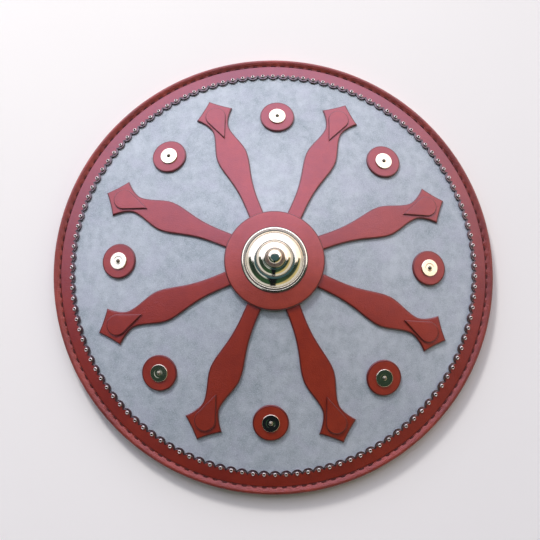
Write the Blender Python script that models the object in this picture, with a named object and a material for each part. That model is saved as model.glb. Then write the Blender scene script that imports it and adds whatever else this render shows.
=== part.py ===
"""Round shield lying face up on its rim, as a reusable part.

A shallow wooden dish is faced with suede. A leather binding is rolled round its edge, with a band of leather
scallops inside it. Eight leather arms run out from under a centre disc to broad pointed heads, each with a
teardrop of leather on it. A stepped brass boss sits on the centre disc, and eight brass studs on leather
washers stand between the arms. Two leather straps on the hollow back take the forearm and the hand.

Metres, +Z up. The shield's axis is the Z axis and the floor is z = 0. Layers are stacked by heights
measured straight up, so that every piece follows one curve, face_height().
"""

import math

import bmesh
import bpy

# Whole shield
SHIELD_RADIUS = 0.300
FACE_RISE = 0.062
CROWN_ROUNDING = 0.15
CONTACT_GAP = 0.0003

# Layers of the dish
BOARD_THICKNESS = 0.007
SUEDE_THICKNESS = 0.0015
LEATHER_THICKNESS = 0.003

# Binding rolled round the edge
BINDING_THICKNESS = 0.0025
EDGE_WIDTH = 0.0102
EDGE_FOOT = 0.0016
EDGE_STEP_WIDTH = 0.001
EDGE_STEP_HEIGHT = 0.0012
EDGE_CREST_HEIGHT = 0.0022
EDGE_ROUNDING = 0.0035
EDGE_LOW_HEIGHT = 0.0045
BINDING_SIDE = 0.0037
FOOT_ROUNDING = 0.002
FOOT_WIDTH = 0.008
BINDING_RETURN = 0.024

# Band of scallops inside the binding
BAND_WIDTH = 0.0205
BAND_THICKNESS = 0.0025
SCALLOP_COUNT = 120
SCALLOP_DEPTH = 0.0045

# Leather arms, measured along and across the arm
ARM_COUNT = 8
ARM_TIP_MARGIN = 0.019
ARM_HEAD_LENGTH = 0.022
ARM_HEAD_HOLLOW = 0.001
ARM_FLARE_LENGTH = 0.026
ARM_HEAD_WIDTH = 0.052
ARM_WAIST_WIDTH = 0.023
ARM_BELLY_WIDTH = 0.042
ARM_ROOT_WIDTH = 0.0196
ARM_BELLY_SHARE = 0.67
ARM_TUCK = 0.030

# Teardrop on each arm's head
TEARDROP_THICKNESS = 0.002
TEARDROP_RADIUS = 0.014
TEARDROP_LENGTH = 0.051
TEARDROP_MARGIN = 0.013

# Studs between the arms
STUD_INSET = 0.0622
WASHER_RADIUS = 0.0236
STUD_RADIUS = 0.0118
STUD_THICKNESS = 0.0015
STUD_DOME_RADIUS = 0.0048
STUD_HEIGHT = 0.0042

# Centre disc and boss
DISC_RADIUS = 0.065
BOSS_RADIUS = 0.043
BOSS_HEIGHT = 0.0245
BOSS_WALL = 0.0012
BOSS_FLANGE_WIDTH = 0.0062

# Straps on the back
STRAP_THICKNESS = 0.004
STRAP_TAB = 0.016
FOREARM_STRAP_PLACE = -0.090
FOREARM_STRAP_WIDTH = 0.040
FOREARM_STRAP_SPAN = 0.150
FOREARM_STRAP_BOW = 0.036
HAND_GRIP_PLACE = 0.085
HAND_GRIP_WIDTH = 0.028
HAND_GRIP_SPAN = 0.136
HAND_GRIP_BOW = 0.034
RIVET_RADIUS = 0.006
RIVET_HEIGHT = 0.0026

# Smoothness of the solids
RIM_SEGMENTS = 52
FACE_RINGS = 5
RING_CROWDING = 1.6
EDGE_STEPS = 4
SLOPE_STEP = 0.0005
BOSS_SEGMENTS = 24
WASHER_SEGMENTS = 16
STUD_SEGMENTS = 12
RIVET_SEGMENTS = 8
SCALLOP_SEGMENTS = 3
SHARP_ANGLE = math.radians(35)

# Places that follow from the sizes above
BOARD_RADIUS = SHIELD_RADIUS - BINDING_SIDE - CONTACT_GAP
SEAM_RADIUS = SHIELD_RADIUS - EDGE_WIDTH
SUEDE_RADIUS = SEAM_RADIUS - CONTACT_GAP
BAND_INNER_RADIUS = SUEDE_RADIUS - BAND_WIDTH
ARM_REACH = BAND_INNER_RADIUS - ARM_TIP_MARGIN
STUD_CIRCLE = BAND_INNER_RADIUS - STUD_INSET
FACE_EDGE_HEIGHT = BINDING_THICKNESS + BOARD_THICKNESS + SUEDE_THICKNESS + 2 * CONTACT_GAP


def smoothstep(t):
    """Ease from 0 to 1 with level ends."""
    return t * t * (3 - 2 * t)


def face_height(radius):
    """Height of the suede's outer surface: a shallow cone with a rounded crown."""
    share = radius / BOARD_RADIUS
    drop = math.hypot(share, CROWN_ROUNDING) - CROWN_ROUNDING
    full_drop = math.hypot(1, CROWN_ROUNDING) - CROWN_ROUNDING
    return FACE_EDGE_HEIGHT + FACE_RISE * (1 - drop / full_drop)


def face_slope(radius):
    """Angle by which the face falls outwards at a radius."""
    drop = face_height(radius - SLOPE_STEP) - face_height(radius + SLOPE_STEP)
    return math.atan2(drop, 2 * SLOPE_STEP)


def board_top(radius):
    """Height of the board's upper surface, just under the suede."""
    return face_height(radius) - SUEDE_THICKNESS - CONTACT_GAP


def board_underside(radius):
    """Height of the hollow back of the board."""
    return board_top(radius) - BOARD_THICKNESS


def arm_top(radius):
    """Height of the leather arms' upper surface."""
    return face_height(radius) + CONTACT_GAP + LEATHER_THICKNESS


def disc_top(radius):
    """Height of the centre disc's upper surface, which lies over the arms' roots."""
    return arm_top(radius) + CONTACT_GAP + LEATHER_THICKNESS


def ring_radii(outer):
    """Radii of the rings of a dished surface, closer together towards the crown, where it bends more."""
    return [outer * (k / FACE_RINGS) ** RING_CROWDING for k in range(FACE_RINGS + 1)]


def clear_scene():
    """Remove every object of the open scene."""
    for old in list(bpy.data.objects):
        bpy.data.objects.remove(old, do_unlink=True)


def make_material(name, colour, roughness, metallic=0.0):
    """Make a plain Principled material."""
    material = bpy.data.materials.new(name)
    material.use_nodes = True
    shader = material.node_tree.nodes["Principled BSDF"]
    shader.inputs["Base Color"].default_value = (*colour, 1)
    shader.inputs["Roughness"].default_value = roughness
    shader.inputs["Metallic"].default_value = metallic
    return material


def finish_mesh(bm, name, material):
    """Close a bmesh into a mesh with outward faces, smooth apart from its edges."""
    bmesh.ops.remove_doubles(bm, verts=bm.verts, dist=1e-6)
    bmesh.ops.recalc_face_normals(bm, faces=bm.faces)
    mesh = bpy.data.meshes.new(name)
    bm.to_mesh(mesh)
    bm.free()
    mesh.shade_smooth()
    mesh.set_sharp_from_angle(angle=SHARP_ANGLE)
    mesh.materials.append(material)
    return mesh


def place(name, mesh, parent, location=(0, 0, 0), rotation=(0, 0, 0)):
    """Put a mesh into the scene as a named object under its parent."""
    piece = bpy.data.objects.new(name, mesh)
    bpy.context.scene.collection.objects.link(piece)
    piece.parent = parent
    piece.location = location
    piece.rotation_euler = rotation
    return piece


def turned_mesh(name, profile, segments, material, closed=False):
    """Turn a profile of (radius, height) points round the Z axis."""
    bm = bmesh.new()
    points = [bm.verts.new((radius, 0, height)) for radius, height in profile]
    edges = [bm.edges.new(pair) for pair in zip(points, points[1:])]
    if closed:
        edges.append(bm.edges.new((points[-1], points[0])))
    bmesh.ops.spin(
        bm,
        geom=points + edges,
        cent=(0, 0, 0),
        axis=(0, 0, 1),
        angle=math.tau,
        steps=segments,
        use_merge=True,
    )
    return finish_mesh(bm, name, material)


def strip_mesh(name, rows, thickness, base_height, material):
    """Make a flat strip of leather along +X and lay it on a curved surface.

    Each row is (distance along, half width). A row of no width is a point. base_height(radius) gives the
    underside's height, and three points across each row let the strip bend with the surface.
    """
    bm = bmesh.new()
    lines = []
    for along, half in rows:
        across = [0] if half == 0 else [-half, 0, half]
        lines.append([bm.verts.new((along, y, 0)) for y in across])
    for near, far in zip(lines, lines[1:]):
        for side in range(2):
            near_pair = near[side:side + 2] if len(near) > 1 else near
            far_pair = far[side:side + 2] if len(far) > 1 else far
            bm.faces.new(near_pair + far_pair[::-1])
    top = bmesh.ops.extrude_face_region(bm, geom=bm.faces[:])
    for item in top["geom"]:
        if isinstance(item, bmesh.types.BMVert):
            item.co.z += thickness
    for vert in bm.verts:
        vert.co.z += base_height(math.hypot(vert.co.x, vert.co.y))
    return finish_mesh(bm, name, material)


def make_board(shield, wood):
    """The dished wooden board, a shell that is open at the back."""
    radii = ring_radii(SUEDE_RADIUS)
    top = [(radius, board_top(radius)) for radius in radii + [BOARD_RADIUS]]
    underside = [(radius, board_underside(radius)) for radius in [BOARD_RADIUS] + radii[-2::-1]]
    place("shield_board", turned_mesh("shield_board", top + underside, RIM_SEGMENTS, wood), shield)


def make_suede(shield, suede):
    """The suede stretched over the board, with its edge under the band."""
    radii = ring_radii(SUEDE_RADIUS)
    top = [(radius, face_height(radius)) for radius in radii]
    underside = [(radius, face_height(radius) - SUEDE_THICKNESS) for radius in radii[::-1]]
    place("suede_face", turned_mesh("suede_face", top + underside, RIM_SEGMENTS, suede), shield)


def edge_profile():
    """The rolled edge of the binding: a step up at the seam, a rise to the crest and a rounded, upright side."""
    foot = face_height(SEAM_RADIUS) + EDGE_FOOT
    crest = foot + EDGE_CREST_HEIGHT
    points = [(SEAM_RADIUS, foot), (SEAM_RADIUS + EDGE_STEP_WIDTH, foot + EDGE_STEP_HEIGHT)]
    for k in range(EDGE_STEPS + 1):
        angle = math.pi / 2 * k / EDGE_STEPS
        radius = SHIELD_RADIUS - EDGE_ROUNDING * (1 - math.sin(angle))
        points.append((radius, crest - EDGE_ROUNDING * (1 - math.cos(angle))))
    return points + [(SHIELD_RADIUS, EDGE_LOW_HEIGHT)]


def make_binding(shield, leather):
    """The leather binding, which wraps the board's edge and is the flat foot that the shield lies on."""
    inner_wall = BOARD_RADIUS + CONTACT_GAP
    foot_outer = SHIELD_RADIUS - FOOT_ROUNDING
    foot_inner = foot_outer - FOOT_WIDTH
    back_edge = inner_wall - BINDING_RETURN
    back_height = board_underside(back_edge) - CONTACT_GAP
    profile = [(SEAM_RADIUS, board_top(SEAM_RADIUS) + CONTACT_GAP)]
    profile += edge_profile()
    profile += [
        (foot_outer, 0),
        (foot_inner, 0),
        (back_edge, back_height - BINDING_THICKNESS),
        (back_edge, back_height),
        (inner_wall, board_underside(BOARD_RADIUS) - CONTACT_GAP),
        (inner_wall, board_top(inner_wall) + CONTACT_GAP),
    ]
    mesh = turned_mesh("rim_binding", profile, RIM_SEGMENTS, leather, closed=True)
    place("rim_binding", mesh, shield)


def flat_sided_radius(radius, angle):
    """Radius at an angle of the regular polygon that the rim's turned pieces really are."""
    sector = math.tau / RIM_SEGMENTS
    return radius * math.cos(sector / 2) / math.cos(angle % sector - sector / 2)


def scallop_points(index):
    """One scallop's round inner edge, from its first notch up to the next one, as (radius, angle)."""
    pitch = math.tau / SCALLOP_COUNT
    half_chord = BAND_INNER_RADIUS * math.tan(pitch / 2)
    arc_radius = (half_chord ** 2 + SCALLOP_DEPTH ** 2) / (2 * SCALLOP_DEPTH)
    half_arc = 2 * math.atan2(SCALLOP_DEPTH, half_chord)
    points = []
    for k in range(SCALLOP_SEGMENTS):
        turn = half_arc * (2 * k / SCALLOP_SEGMENTS - 1)
        radius = BAND_INNER_RADIUS + arc_radius * (1 - math.cos(turn))
        points.append((radius, (index + 0.5) * pitch + arc_radius * math.sin(turn) / BAND_INNER_RADIUS))
    return points


def make_band(shield, leather):
    """The flat leather band on the suede, cut into scallops along its inner edge."""
    pitch = math.tau / SCALLOP_COUNT
    bm = bmesh.new()

    def flat_point(radius, angle):
        return bm.verts.new((radius * math.cos(angle), radius * math.sin(angle), 0))

    inner = [[flat_point(*point) for point in scallop_points(i)] for i in range(SCALLOP_COUNT)]
    outer = [flat_point(flat_sided_radius(SUEDE_RADIUS, i * pitch), i * pitch) for i in range(SCALLOP_COUNT)]
    for i in range(SCALLOP_COUNT):
        following = (i + 1) % SCALLOP_COUNT
        bm.faces.new(inner[i] + [inner[following][0], outer[following], outer[i]])
    top = bmesh.ops.extrude_face_region(bm, geom=bm.faces[:])
    for item in top["geom"]:
        if isinstance(item, bmesh.types.BMVert):
            item.co.z += BAND_THICKNESS
    for vert in bm.verts:
        vert.co.z += face_height(math.hypot(vert.co.x, vert.co.y)) + CONTACT_GAP
    place("scalloped_band", finish_mesh(bm, "scalloped_band", leather), shield)


def arm_rows():
    """The outline of one arm: root under the disc, belly, waist, flare to two corners, and a point."""
    root = DISC_RADIUS - ARM_TUCK
    corner = ARM_REACH - ARM_HEAD_LENGTH
    waist = corner - ARM_FLARE_LENGTH
    belly = DISC_RADIUS + ARM_BELLY_SHARE * (waist - DISC_RADIUS)
    rows = [(root, ARM_ROOT_WIDTH / 2)]
    for t in (0, 0.4, 0.7, 1):
        half = ARM_ROOT_WIDTH + (ARM_BELLY_WIDTH - ARM_ROOT_WIDTH) * smoothstep(t ** 1.7)
        rows.append((DISC_RADIUS + t * (belly - DISC_RADIUS), half / 2))
    for t in (0.35, 0.67, 1):
        half = ARM_BELLY_WIDTH + (ARM_WAIST_WIDTH - ARM_BELLY_WIDTH) * smoothstep(t)
        rows.append((belly + t * (waist - belly), half / 2))
    for t in (0.4, 0.75, 1):
        half = ARM_WAIST_WIDTH + (ARM_HEAD_WIDTH - ARM_WAIST_WIDTH) * t ** 1.65
        rows.append((waist + t * ARM_FLARE_LENGTH, half / 2))
    rows.append((corner + ARM_HEAD_LENGTH / 2 - ARM_HEAD_HOLLOW, ARM_HEAD_WIDTH / 4))
    rows.append((ARM_REACH, 0))
    return rows


def make_arms(shield, leather):
    """Eight leather arms, all cut to one outline."""
    mesh = strip_mesh(
        "leather_arm",
        arm_rows(),
        LEATHER_THICKNESS,
        lambda radius: face_height(radius) + CONTACT_GAP,
        leather,
    )
    for i in range(ARM_COUNT):
        angle = math.tau * (i + 0.5) / ARM_COUNT
        place(f"leather_arm_{i + 1}", mesh, shield, rotation=(0, 0, angle))


def teardrop_rows():
    """The outline of a teardrop: a point, two straight sides and a round end."""
    end = ARM_REACH - TEARDROP_MARGIN
    centre = end - TEARDROP_RADIUS
    tip = end - TEARDROP_LENGTH
    side_angle = math.asin(TEARDROP_RADIUS / (centre - tip))
    rows = [(tip, 0)]
    last = 0.42 * math.pi
    for k in range(5):
        angle = -side_angle + (last + side_angle) * k / 4
        rows.append((centre + TEARDROP_RADIUS * math.sin(angle), TEARDROP_RADIUS * math.cos(angle)))
    return rows


def make_teardrops(shield, leather):
    """A raised teardrop of leather on the head of each arm."""
    mesh = strip_mesh(
        "teardrop",
        teardrop_rows(),
        TEARDROP_THICKNESS,
        lambda radius: arm_top(radius) + CONTACT_GAP,
        leather,
    )
    for i in range(ARM_COUNT):
        angle = math.tau * (i + 0.5) / ARM_COUNT
        place(f"teardrop_{i + 1}", mesh, shield, rotation=(0, 0, angle))


def stud_profile():
    """A brass stud: a thin disc with a slanted edge and a small dome in its middle."""
    return [
        (0, 0),
        (STUD_RADIUS, 0),
        (STUD_RADIUS - STUD_THICKNESS / 2, STUD_THICKNESS),
        (STUD_DOME_RADIUS, STUD_THICKNESS),
        (STUD_DOME_RADIUS / 2, STUD_THICKNESS + 0.7 * (STUD_HEIGHT - STUD_THICKNESS)),
        (0, STUD_HEIGHT),
    ]


def make_studs(shield, leather, brass):
    """Eight brass studs on round leather washers, each square to the slope it sits on."""
    washer_profile = [(0, 0), (WASHER_RADIUS, 0), (WASHER_RADIUS, LEATHER_THICKNESS), (0, LEATHER_THICKNESS)]
    washer = turned_mesh("stud_washer", washer_profile, WASHER_SEGMENTS, leather)
    stud = turned_mesh("brass_stud", stud_profile(), STUD_SEGMENTS, brass)
    slope = face_slope(STUD_CIRCLE)
    for i in range(ARM_COUNT):
        angle = math.tau * i / ARM_COUNT
        seat = bpy.data.objects.new(f"stud_seat_{i + 1}", None)
        bpy.context.scene.collection.objects.link(seat)
        seat.parent = shield
        seat.location = (
            STUD_CIRCLE * math.cos(angle),
            STUD_CIRCLE * math.sin(angle),
            face_height(STUD_CIRCLE),
        )
        seat.rotation_euler = (0, slope, angle)
        place(f"stud_washer_{i + 1}", washer, seat, location=(0, 0, CONTACT_GAP))
        place(f"brass_stud_{i + 1}", stud, seat, location=(0, 0, LEATHER_THICKNESS + 2 * CONTACT_GAP))


def make_disc(shield, leather):
    """The leather disc that covers the arms' roots, bent where they begin."""
    radii = [0, DISC_RADIUS - ARM_TUCK, DISC_RADIUS]
    top = [(radius, disc_top(radius)) for radius in radii]
    underside = [(radius, disc_top(radius) - LEATHER_THICKNESS) for radius in radii[::-1]]
    place("centre_disc", turned_mesh("centre_disc", top + underside, RIM_SEGMENTS, leather), shield)


def boss_outer_profile():
    """The boss from its tip down: a dome on a steep neck, two swelling bands, a steep foot and a thin flange."""
    seat = disc_top(BOSS_RADIUS) + CONTACT_GAP
    wall_foot = BOSS_RADIUS - BOSS_FLANGE_WIDTH
    flange_inner = disc_top(wall_foot) + CONTACT_GAP + BOSS_WALL
    body_height = BOSS_HEIGHT - (flange_inner - seat)
    shares = [(0, 1), (0.16, 0.95), (0.25, 0.84), (0.375, 0.572), (0.52, 0.49), (0.65, 0.29), (0.76, 0.275)]
    shares += [(0.88, 0.17), (1, 0)]
    points = [(wall_foot * across, flange_inner + body_height * up) for across, up in shares]
    return points + [(BOSS_RADIUS, seat + BOSS_WALL)]


def boss_inner_profile():
    """The inside of the spun brass, from its flange's edge up to the crown."""
    seat = disc_top(BOSS_RADIUS) + CONTACT_GAP
    wall_foot = BOSS_RADIUS - BOSS_FLANGE_WIDTH - BOSS_WALL
    flange_inner = disc_top(wall_foot) + CONTACT_GAP
    body_height = BOSS_HEIGHT - (flange_inner - seat) - 2 * BOSS_WALL
    shares = [(1, 0), (0.70, 0.27), (0.40, 0.54), (0.22, 0.90), (0, 1)]
    return [(BOSS_RADIUS, seat)] + [(wall_foot * across, flange_inner + body_height * up) for across, up in shares]


def make_boss(shield, brass):
    """The stepped brass boss, a thin spun shell that is open underneath."""
    profile = boss_outer_profile() + boss_inner_profile()
    place("brass_boss", turned_mesh("brass_boss", profile, BOSS_SEGMENTS, brass), shield)


def strap_mesh(name, centre_x, width, span, bow, leather):
    """A strap across the hollow back: a flat tab at each end and a slack bow between them."""
    loop = span / 2 - STRAP_TAB
    places = [-span / 2] + [loop * (k / 4 - 1) for k in range(9)] + [span / 2]
    bm = bmesh.new()
    lines = []
    for y in places:
        lines.append([bm.verts.new((centre_x + side * width / 2, y, 0)) for side in (-1, 0, 1)])
    for near, far in zip(lines, lines[1:]):
        for side in range(2):
            bm.faces.new(near[side:side + 2] + far[side:side + 2][::-1])
    lower = bmesh.ops.extrude_face_region(bm, geom=bm.faces[:])
    for item in lower["geom"]:
        if isinstance(item, bmesh.types.BMVert):
            item.co.z -= STRAP_THICKNESS
    for vert in bm.verts:
        across = min(1, abs(vert.co.y) / loop)
        sag = bow * smoothstep(1 - across)
        vert.co.z += board_underside(math.hypot(vert.co.x, vert.co.y)) - CONTACT_GAP - sag
    return finish_mesh(bm, name, leather)


def make_straps(shield, leather, iron):
    """A broad strap for the forearm and a narrow one for the hand, each held by two rivets."""
    straps = [
        ("forearm_strap", FOREARM_STRAP_PLACE, FOREARM_STRAP_WIDTH, FOREARM_STRAP_SPAN, FOREARM_STRAP_BOW),
        ("hand_grip", HAND_GRIP_PLACE, HAND_GRIP_WIDTH, HAND_GRIP_SPAN, HAND_GRIP_BOW),
    ]
    rivet_profile = [
        (0, 0),
        (RIVET_RADIUS, 0),
        (0.72 * RIVET_RADIUS, -0.7 * RIVET_HEIGHT),
        (0, -RIVET_HEIGHT),
    ]
    rivet = turned_mesh("strap_rivet", rivet_profile, RIVET_SEGMENTS, iron)
    number = 0
    for name, centre_x, width, span, bow in straps:
        place(name, strap_mesh(name, centre_x, width, span, bow, leather), shield)
        for side in (-1, 1):
            number += 1
            y = side * (span - STRAP_TAB) / 2
            radius = math.hypot(centre_x, y)
            height = board_underside(radius) - STRAP_THICKNESS - 2 * CONTACT_GAP
            turn = (0, face_slope(radius), math.atan2(y, centre_x))
            place(f"strap_rivet_{number}", rivet, shield, location=(centre_x, y, height), rotation=turn)


def main():
    """Build the whole shield."""
    clear_scene()
    wood = make_material("wood", (0.20, 0.11, 0.06), 0.7)
    suede = make_material("suede", (0.38, 0.44, 0.54), 0.95)
    leather = make_material("leather", (0.30, 0.06, 0.04), 0.5)
    brass = make_material("brass", (0.85, 0.66, 0.34), 0.18, 1.0)
    iron = make_material("iron", (0.16, 0.15, 0.15), 0.45, 1.0)
    shield = bpy.data.objects.new("shield", None)
    bpy.context.scene.collection.objects.link(shield)
    make_board(shield, wood)
    make_suede(shield, suede)
    make_binding(shield, leather)
    make_band(shield, leather)
    make_arms(shield, leather)
    make_teardrops(shield, leather)
    make_studs(shield, leather, brass)
    make_disc(shield, leather)
    make_boss(shield, brass)
    make_straps(shield, leather, iron)


main()
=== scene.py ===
# %% [markdown]
# # A round leather and suede shield
#
# The shield is a shallow wooden dish, 600 mm across, that lies face up on its rim. Its face is covered in
# pale suede. Over that lie a rolled leather edge, a leather band cut into scallops, eight leather arms, a
# round leather disc, and polished brass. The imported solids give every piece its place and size. This
# lesson dresses them: each piece gets a finer mesh in the same place, and a finish made of shader nodes.

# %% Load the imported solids
import math

import bmesh
import bpy
import numpy as np
from mathutils import Euler, Matrix, Vector


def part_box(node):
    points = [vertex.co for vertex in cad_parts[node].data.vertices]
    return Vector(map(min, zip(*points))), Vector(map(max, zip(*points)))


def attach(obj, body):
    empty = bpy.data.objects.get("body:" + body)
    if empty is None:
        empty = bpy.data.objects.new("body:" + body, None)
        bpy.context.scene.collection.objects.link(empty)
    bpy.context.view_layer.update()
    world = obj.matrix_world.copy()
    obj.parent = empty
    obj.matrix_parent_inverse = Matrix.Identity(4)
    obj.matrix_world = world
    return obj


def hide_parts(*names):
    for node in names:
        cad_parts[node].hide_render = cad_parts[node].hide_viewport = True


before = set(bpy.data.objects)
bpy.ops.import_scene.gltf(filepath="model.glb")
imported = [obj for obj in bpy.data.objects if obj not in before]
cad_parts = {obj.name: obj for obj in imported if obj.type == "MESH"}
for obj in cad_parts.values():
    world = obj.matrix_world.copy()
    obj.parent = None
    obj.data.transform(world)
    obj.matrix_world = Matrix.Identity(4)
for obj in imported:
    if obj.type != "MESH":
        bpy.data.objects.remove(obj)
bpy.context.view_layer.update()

# %% [markdown]
# ## One curve carries everything
#
# A real shield of this kind is built up in layers on a dished board: suede, then leather, then brass. If
# every layer follows one curve, nothing floats and nothing sinks in. The curve is a shallow cone with a
# rounded crown. It is written once, as a function that takes one radius or a whole array of them.

# %% The face's curve and the layers on it
SHIELD_RADIUS = 0.300
BOARD_RADIUS = 0.296
EDGE_HEIGHT = 0.0116
FACE_RISE = 0.062
CROWN_ROUNDING = 0.15
GAP = 0.0003
SUEDE = 0.0015
LEATHER = 0.003
BOARD = 0.007


def face_height(radius):
    """Height of the suede's outer surface above the floor."""
    drop = np.hypot(np.asarray(radius) / BOARD_RADIUS, CROWN_ROUNDING) - CROWN_ROUNDING
    return EDGE_HEIGHT + FACE_RISE * (1 - drop / (math.hypot(1, CROWN_ROUNDING) - CROWN_ROUNDING))


def face_slope(radius):
    """Angle by which the face falls outwards."""
    return math.atan2(float(face_height(radius - GAP) - face_height(radius + GAP)), 2 * GAP)


def board_underside(radius):
    """Height of the hollow back."""
    return face_height(radius) - SUEDE - GAP - BOARD


print("crown", round(float(face_height(0)), 4), "rim", round(float(face_height(BOARD_RADIUS)), 4))

# %% [markdown]
# ## Skins over grids of points
#
# Most pieces here are turned on a lathe or cut as a long strip. Both are a grid of points that is wrapped
# in a skin of quads. A turned piece is the easy case: its rows are the points of one profile, and its
# columns go round the axis, so the last column always joins the first. Bmesh then welds the poles, and
# closes any open end.

# %% Meshes from grids and from profiles
SMOOTH_ANGLE = math.radians(38)
WELD = 1e-7


def smooth_mesh(bm, name):
    """Hand back a bmesh as a mesh that is shaded smooth, with its sharp edges kept."""
    mesh = bpy.data.meshes.new(name)
    bm.to_mesh(mesh)
    bm.free()
    mesh.shade_smooth()
    mesh.set_sharp_from_angle(angle=SMOOTH_ANGLE)
    return mesh


def settle(bm, name):
    """Weld, turn the faces outwards and hand back a smooth mesh."""
    bmesh.ops.remove_doubles(bm, verts=bm.verts, dist=WELD)
    bmesh.ops.recalc_face_normals(bm, faces=bm.faces)
    return smooth_mesh(bm, name)


def skin(name, points, row_finish=None, wrap_rows=False):
    """A mesh over points[row, column]. row_finish gives the material number of each row of quads."""
    rows, columns = points.shape[:2]
    index = np.arange(rows * columns).reshape(rows, columns)
    index = np.concatenate([index, index[:, :1]], axis=1)
    if wrap_rows:
        index = np.concatenate([index, index[:1]], axis=0)
    corners = [index[:-1, :-1], index[:-1, 1:], index[1:, 1:], index[1:, :-1]]
    quads = np.stack(corners, axis=-1)
    raw = bpy.data.meshes.new(name + "_raw")
    raw.from_pydata(points.reshape(-1, 3).tolist(), [], quads.reshape(-1, 4).tolist())
    if row_finish is not None:
        finish = np.repeat(np.asarray(row_finish, np.int32), quads.shape[1])
        raw.polygons.foreach_set("material_index", finish)
    bm = bmesh.new()
    bm.from_mesh(raw)
    bpy.data.meshes.remove(raw)
    open_edges = [edge for edge in bm.edges if edge.is_boundary]
    if open_edges and not wrap_rows:
        bmesh.ops.holes_fill(bm, edges=open_edges)
    return settle(bm, name)


def ring_grid(profile, segments):
    """Points of a profile of (radius, height) turned round Z, and the angles that they stand at."""
    angles = np.arange(segments) * math.tau / segments
    radius, height = np.array(profile, float).T
    x = radius[:, None] * np.cos(angles)
    y = radius[:, None] * np.sin(angles)
    z = np.repeat(height[:, None], segments, axis=1)
    return np.stack([x, y, z], axis=-1), angles


def turned(name, profile, segments, row_finish=None):
    """A turned piece from a profile that starts and ends on the axis."""
    return skin(name, ring_grid(profile, segments)[0], row_finish)


def rounded(points, steps=4):
    """Soften a profile: each point given as (radius, height, rounding) becomes an arc of that size."""
    most = 0.48  # of a side, so that the arcs at its two ends never meet
    soft = []
    for before, here, after in zip([points[0]] + points[:-1], points, points[1:] + [points[-1]]):
        size = here[2] if len(here) > 2 else 0
        corner, back, on = (Vector(p[:2]) for p in (here, before, after))
        if size == 0 or back == corner or on == corner:
            soft.append(tuple(corner))
            continue
        start = corner + (back - corner).normalized() * min(size, (back - corner).length * most)
        end = corner + (on - corner).normalized() * min(size, (on - corner).length * most)
        for k in range(steps + 1):
            t = k / steps
            soft.append(tuple(start.lerp(corner, t).lerp(corner.lerp(end, t), t)))
    return soft


def show(name, mesh, finishes, slot, *nodes):
    """Put a mesh into the scene as a piece that rides on the shield and stands for its solids."""
    piece = bpy.data.objects.new(name, mesh)
    bpy.context.scene.collection.objects.link(piece)
    for finish in finishes:
        mesh.materials.append(finish)
    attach(piece, "root")
    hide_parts(*nodes)
    return piece


# %% [markdown]
# ## Shader maths as plain expressions
#
# A finish is arithmetic on textures: a bit of this noise, less of that mask. Blender does it with Math
# nodes, which are tedious to place by hand. Here a small class wraps a node's socket, so that `1 - mask`
# or `cloud * 0.6` places the nodes. Colours and vectors go through Mix and Vector Math nodes, since a
# Math node would turn them grey. Every other node comes from one method, `Finish.node`.

# %% Sockets that do sums, and finishes that hold them


class Wire:
    """An output socket of a finish's node tree, which can be added, subtracted and multiplied."""

    def __init__(self, finish, socket):
        self.finish = finish
        self.socket = socket

    def __add__(self, other):
        return self.finish.sum("ADD", self, other)

    def __radd__(self, other):
        return self.finish.sum("ADD", other, self)

    def __sub__(self, other):
        return self.finish.sum("SUBTRACT", self, other)

    def __rsub__(self, other):
        return self.finish.sum("SUBTRACT", other, self)

    def __mul__(self, other):
        return self.finish.sum("MULTIPLY", self, other)

    def __rmul__(self, other):
        return self.finish.sum("MULTIPLY", other, self)


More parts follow.
